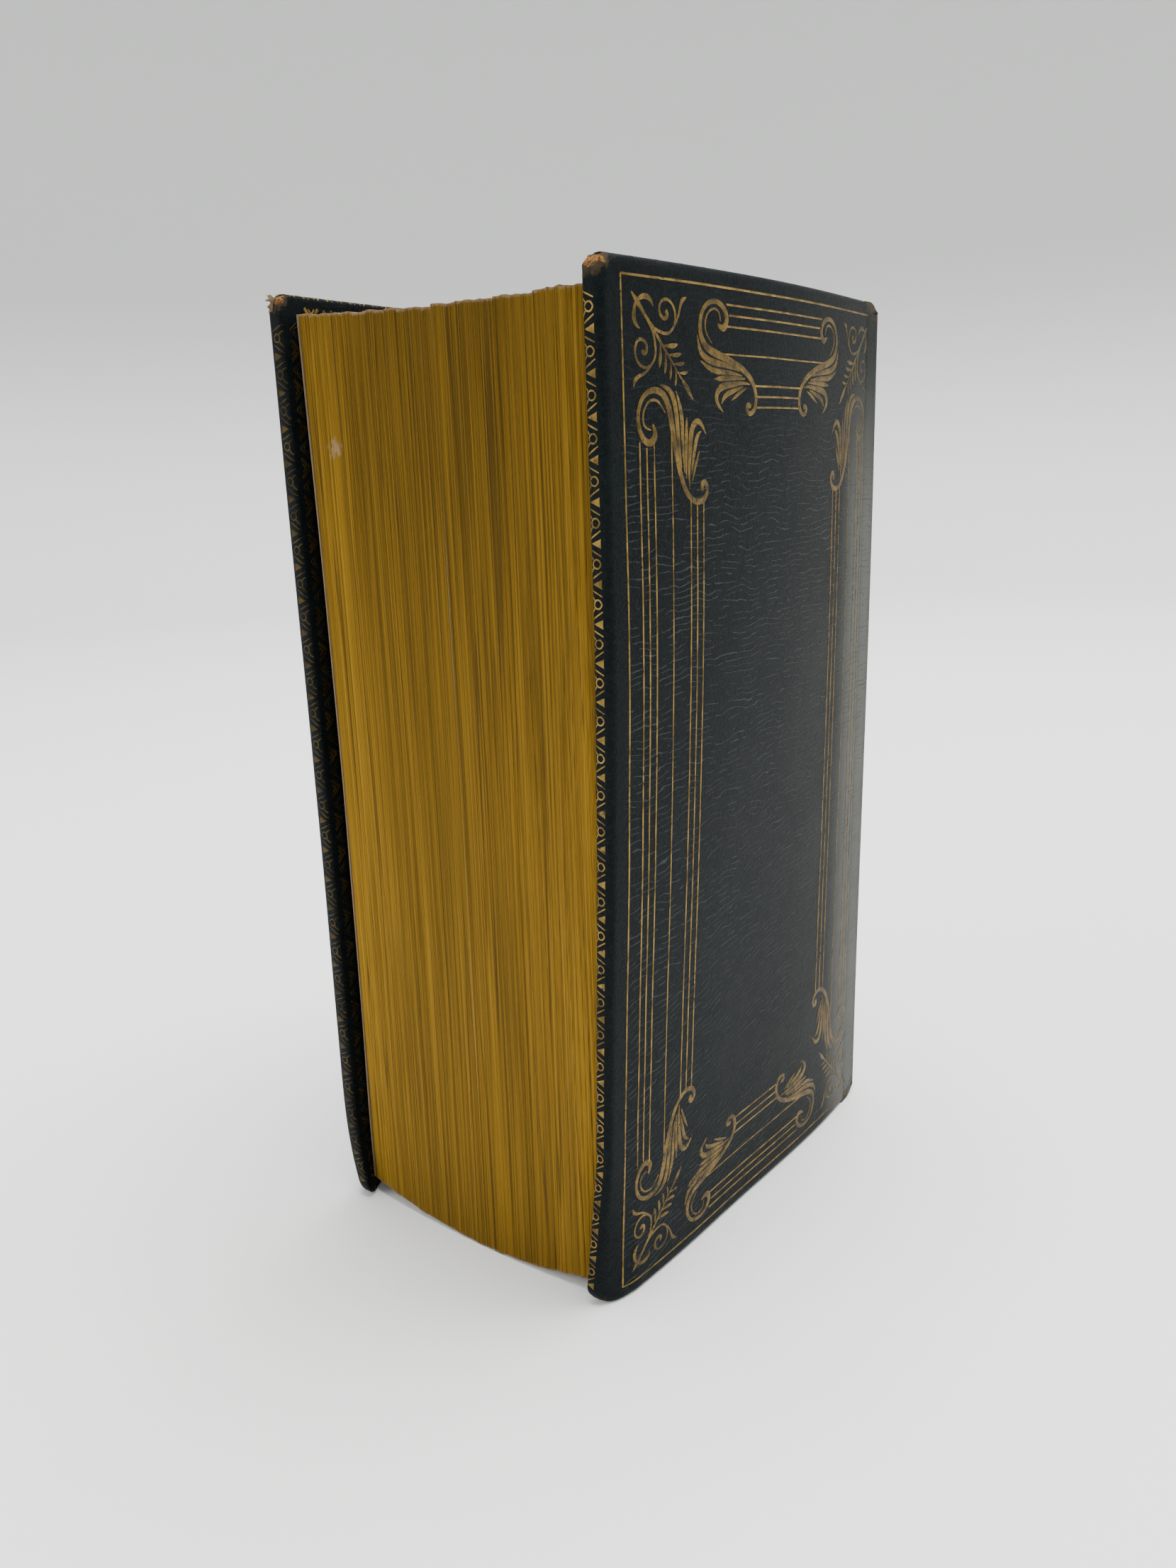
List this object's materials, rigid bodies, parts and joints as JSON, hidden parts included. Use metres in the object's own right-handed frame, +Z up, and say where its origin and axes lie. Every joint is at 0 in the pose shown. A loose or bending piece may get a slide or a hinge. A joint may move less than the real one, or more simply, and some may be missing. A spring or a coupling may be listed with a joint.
{
  "type": "prayer book",
  "caption": "Thick leather-bound prayer book with gilt edges, gold-tooled covers and raised bands; both covers, the endleaves and the middle open.",
  "frame": {"origin": "centre of the closed book's footprint, on the surface that it stands on", "axes": "+Z up the spine from tail to head, -Y out of the fore edge, +Y out of the spine, +X out of the back cover"},
  "size_m": [0.064, 0.0895, 0.15],
  "materials": {
    "cover_leather": "dark blue-black morocco, hard grain, lightly glazed, gold-tooled",
    "board": "grey-brown pulp board",
    "endpaper": "matt mauve-brown endpaper",
    "gilt_leaves": "thin paper leaves, edges gilt and worn",
    "lining_paper": "matt brown paper",
    "cord": "twisted hemp",
    "thread": "waxed linen thread",
    "endband_silk": "silk wound over a core, in two colours",
    "gold_tooling": "gold leaf tooled into leather, rubbed"
  },
  "bodies": {
    "back_half": {"back_spine_leather": "cover_leather", "back_spine_lining": "lining_paper", "back_sewing_cords": "cord", "back_kettle_stitch_thread": "thread", "back_head_band": "endband_silk", "back_tail_band": "endband_silk", "back_gathering_01": "gilt_leaves", "back_gathering_02": "gilt_leaves", "back_gathering_03": "gilt_leaves", "back_gathering_04": "gilt_leaves", "back_gathering_05": "gilt_leaves", "back_gathering_06": "gilt_leaves", "back_gathering_07": "gilt_leaves", "back_gathering_08": "gilt_leaves", "back_gathering_09": "gilt_leaves", "back_gathering_10": "gilt_leaves", "back_gathering_11": "gilt_leaves", "back_gathering_12": "gilt_leaves"},
    "front_half": {"front_spine_leather": "cover_leather", "front_spine_lining": "lining_paper", "front_sewing_cords": "cord", "front_kettle_stitch_thread": "thread", "front_head_band": "endband_silk", "front_tail_band": "endband_silk", "front_gathering_01": "gilt_leaves", "front_gathering_02": "gilt_leaves", "front_gathering_03": "gilt_leaves", "front_gathering_04": "gilt_leaves", "front_gathering_05": "gilt_leaves", "front_gathering_06": "gilt_leaves", "front_gathering_07": "gilt_leaves", "front_gathering_08": "gilt_leaves", "front_gathering_09": "gilt_leaves", "front_gathering_10": "gilt_leaves", "front_gathering_11": "gilt_leaves", "front_gathering_12": "gilt_leaves"},
    "back_cover": {"back_board": "board", "back_cover_leather": "cover_leather", "back_pastedown": "endpaper", "back_laced_cord_slips": "cord"},
    "front_cover": {"front_board": "board", "front_cover_leather": "cover_leather", "front_pastedown": "endpaper", "front_laced_cord_slips": "cord"},
    "back_leaf": {"back_flyleaf": "endpaper"},
    "front_leaf": {"front_flyleaf": "endpaper"}
  },
  "joints": [
    {"name": "middle_opening", "type": "hinge", "parent": "back_half", "child": "front_half", "pos_m": [0, 0.04475, 0], "axis": [0, 0, -1], "range_deg": [0, 110]},
    {"name": "back_cover_hinge", "type": "hinge", "parent": "back_half", "child": "back_cover", "pos_m": [0.02972, 0.03575, 0], "axis": [0, 0, 1], "range_deg": [0, 135]},
    {"name": "front_cover_hinge", "type": "hinge", "parent": "front_half", "child": "front_cover", "pos_m": [-0.02972, 0.03575, 0], "axis": [0, 0, -1], "range_deg": [0, 135]},
    {"name": "back_flyleaf_turn", "type": "hinge", "parent": "back_half", "child": "back_leaf", "pos_m": [0.0265, 0.03575, 0], "axis": [0, 0, 1], "range_deg": [0, 54]},
    {"name": "front_flyleaf_turn", "type": "hinge", "parent": "front_half", "child": "front_leaf", "pos_m": [-0.0265, 0.03575, 0], "axis": [0, 0, -1], "range_deg": [0, 54]}
  ],
  "couplings": [
    {"joint": "back_flyleaf_turn", "follows": "back_cover_hinge", "ratio": 0.4},
    {"joint": "front_flyleaf_turn", "follows": "front_cover_hinge", "ratio": 0.4}
  ]
}
